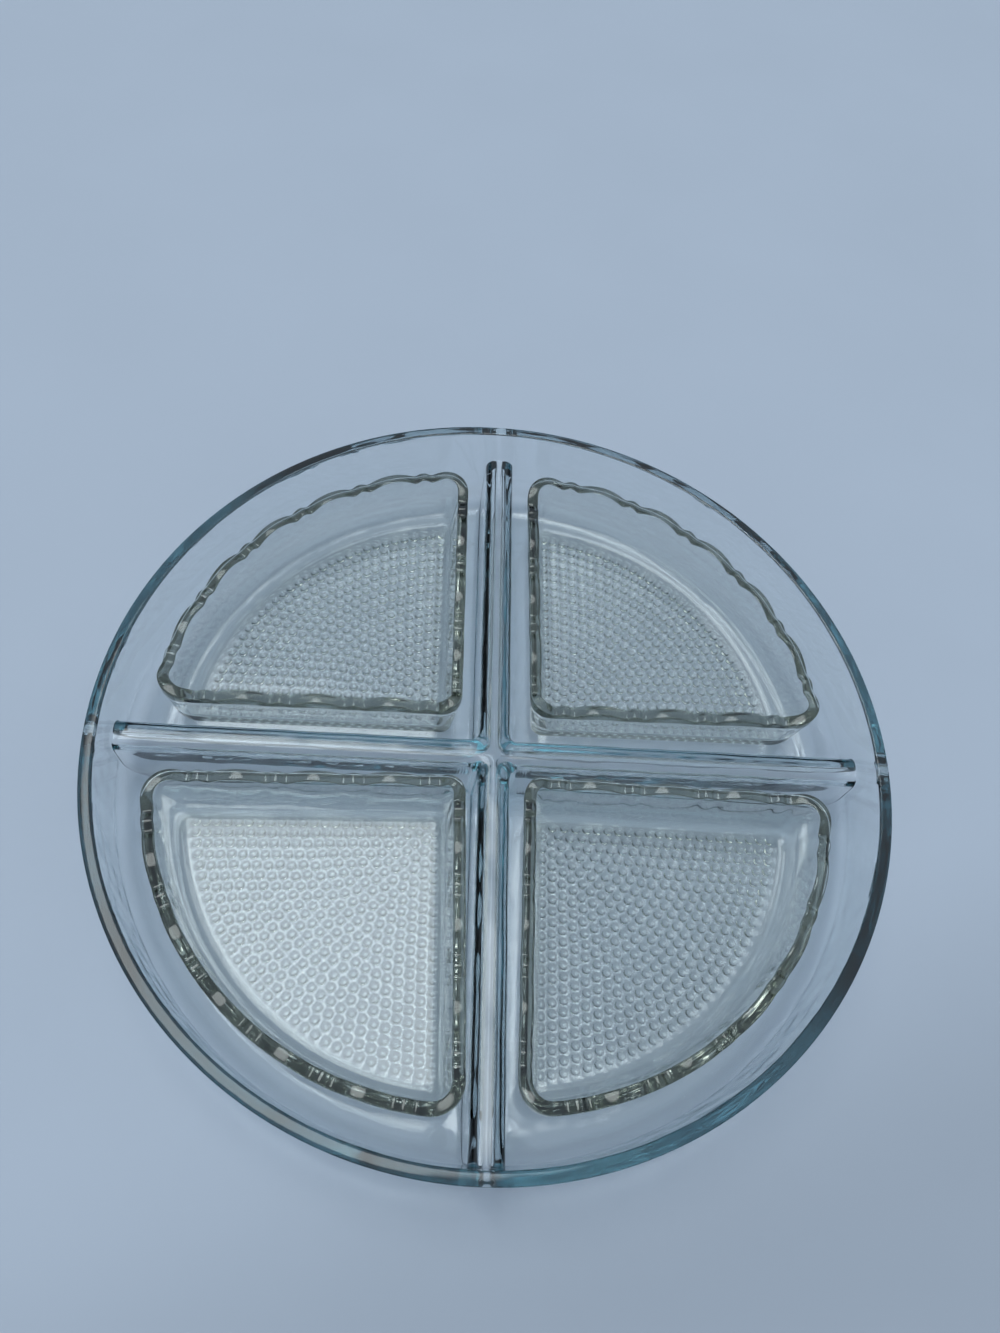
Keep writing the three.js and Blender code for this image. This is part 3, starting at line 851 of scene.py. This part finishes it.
class RELISH_OT_make_stage(bpy.types.Operator):
    """Makes the pale table, the soft light and the camera"""

    bl_idname = "relish.make_stage"
    bl_label = "Make stage"

    def execute(self, context):
        scene = context.scene
        looks = scene.relish_set.stage
        quarters = ((-1, -1), (1, -1), (1, 1), (-1, 1))
        corners = [(x * TABLE_HALF, y * TABLE_HALF, TABLE_LEVEL) for x, y in quarters]
        mesh = bpy.data.meshes.new("table_top")
        mesh.from_pydata(corners, [], [(0, 1, 2, 3)])
        mesh.materials.append(table_material(looks))
        table = bpy.data.objects.new("table_top", mesh)
        scene.collection.objects.link(table)
        scene.world = sky(looks)
        self.make_camera(scene, looks)
        scene.view_settings.view_transform = "Standard"
        scene.cycles.max_bounces = GLASS_BOUNCES
        scene.cycles.transmission_bounces = GLASS_BOUNCES
        scene.cycles.glossy_bounces = GLOSS_BOUNCES
        scene.cycles.diffuse_bounces = TABLE_BOUNCES
        scene.cycles.blur_glossy = 0.0
        return {"FINISHED"}

    def make_camera(self, scene, looks):
        """Sets up the photograph's view."""
        lens = bpy.data.cameras.new("camera")
        lens.lens = looks.lens
        lens.sensor_width = SENSOR_WIDTH
        lens.clip_start = NEAREST_SIGHT
        camera = bpy.data.objects.new("camera", lens)
        flat = math.cos(looks.elevation)
        back = Vector((
            math.sin(looks.azimuth) * flat,
            -math.cos(looks.azimuth) * flat,
            math.sin(looks.elevation),
        ))
        level = Vector((math.cos(looks.azimuth), math.sin(looks.azimuth), 0.0))
        upright = back.cross(level)
        right = math.cos(looks.roll) * level + math.sin(looks.roll) * upright
        up = back.cross(right)
        turned = Matrix((right, up, back)).transposed().to_4x4()
        place = Vector(CAMERA_AIM) + back * looks.distance
        camera.matrix_world = Matrix.Translation(place) @ turned
        scene.collection.objects.link(camera)
        scene.camera = camera


class RELISH_PT_panel(bpy.types.Panel):
    """Lists the steps and settings of the relish set"""

    bl_idname = "RELISH_PT_panel"
    bl_label = "Relish set"
    bl_space_type = "VIEW_3D"
    bl_region_type = "UI"
    bl_category = "Relish set"

    def draw(self, context):
        layout = self.layout
        for operator in (RELISH_OT_make_tray, RELISH_OT_make_dishes, RELISH_OT_make_stage):
            layout.operator(operator.bl_idname)
        settings = context.scene.relish_set
        for group in (settings.tray, settings.dish, settings.glass, settings.stage):
            box = layout.box()
            for name in group.__annotations__:
                box.prop(group, name)


CLASSES = (
    TraySizes,
    DishSizes,
    GlassLooks,
    StageLooks,
    RelishSettings,
    RELISH_OT_make_tray,
    RELISH_OT_make_dishes,
    RELISH_OT_make_stage,
    RELISH_PT_panel,
)


def register():
    for cls in CLASSES:
        bpy.utils.register_class(cls)
    bpy.types.Scene.relish_set = PointerProperty(type=RelishSettings)


def unregister():
    del bpy.types.Scene.relish_set
    for cls in reversed(CLASSES):
        bpy.utils.unregister_class(cls)


def main():
    register()
    bpy.ops.relish.make_tray()
    bpy.ops.relish.make_dishes()
    bpy.ops.relish.make_stage()


if __name__ == "__main__":
    main()
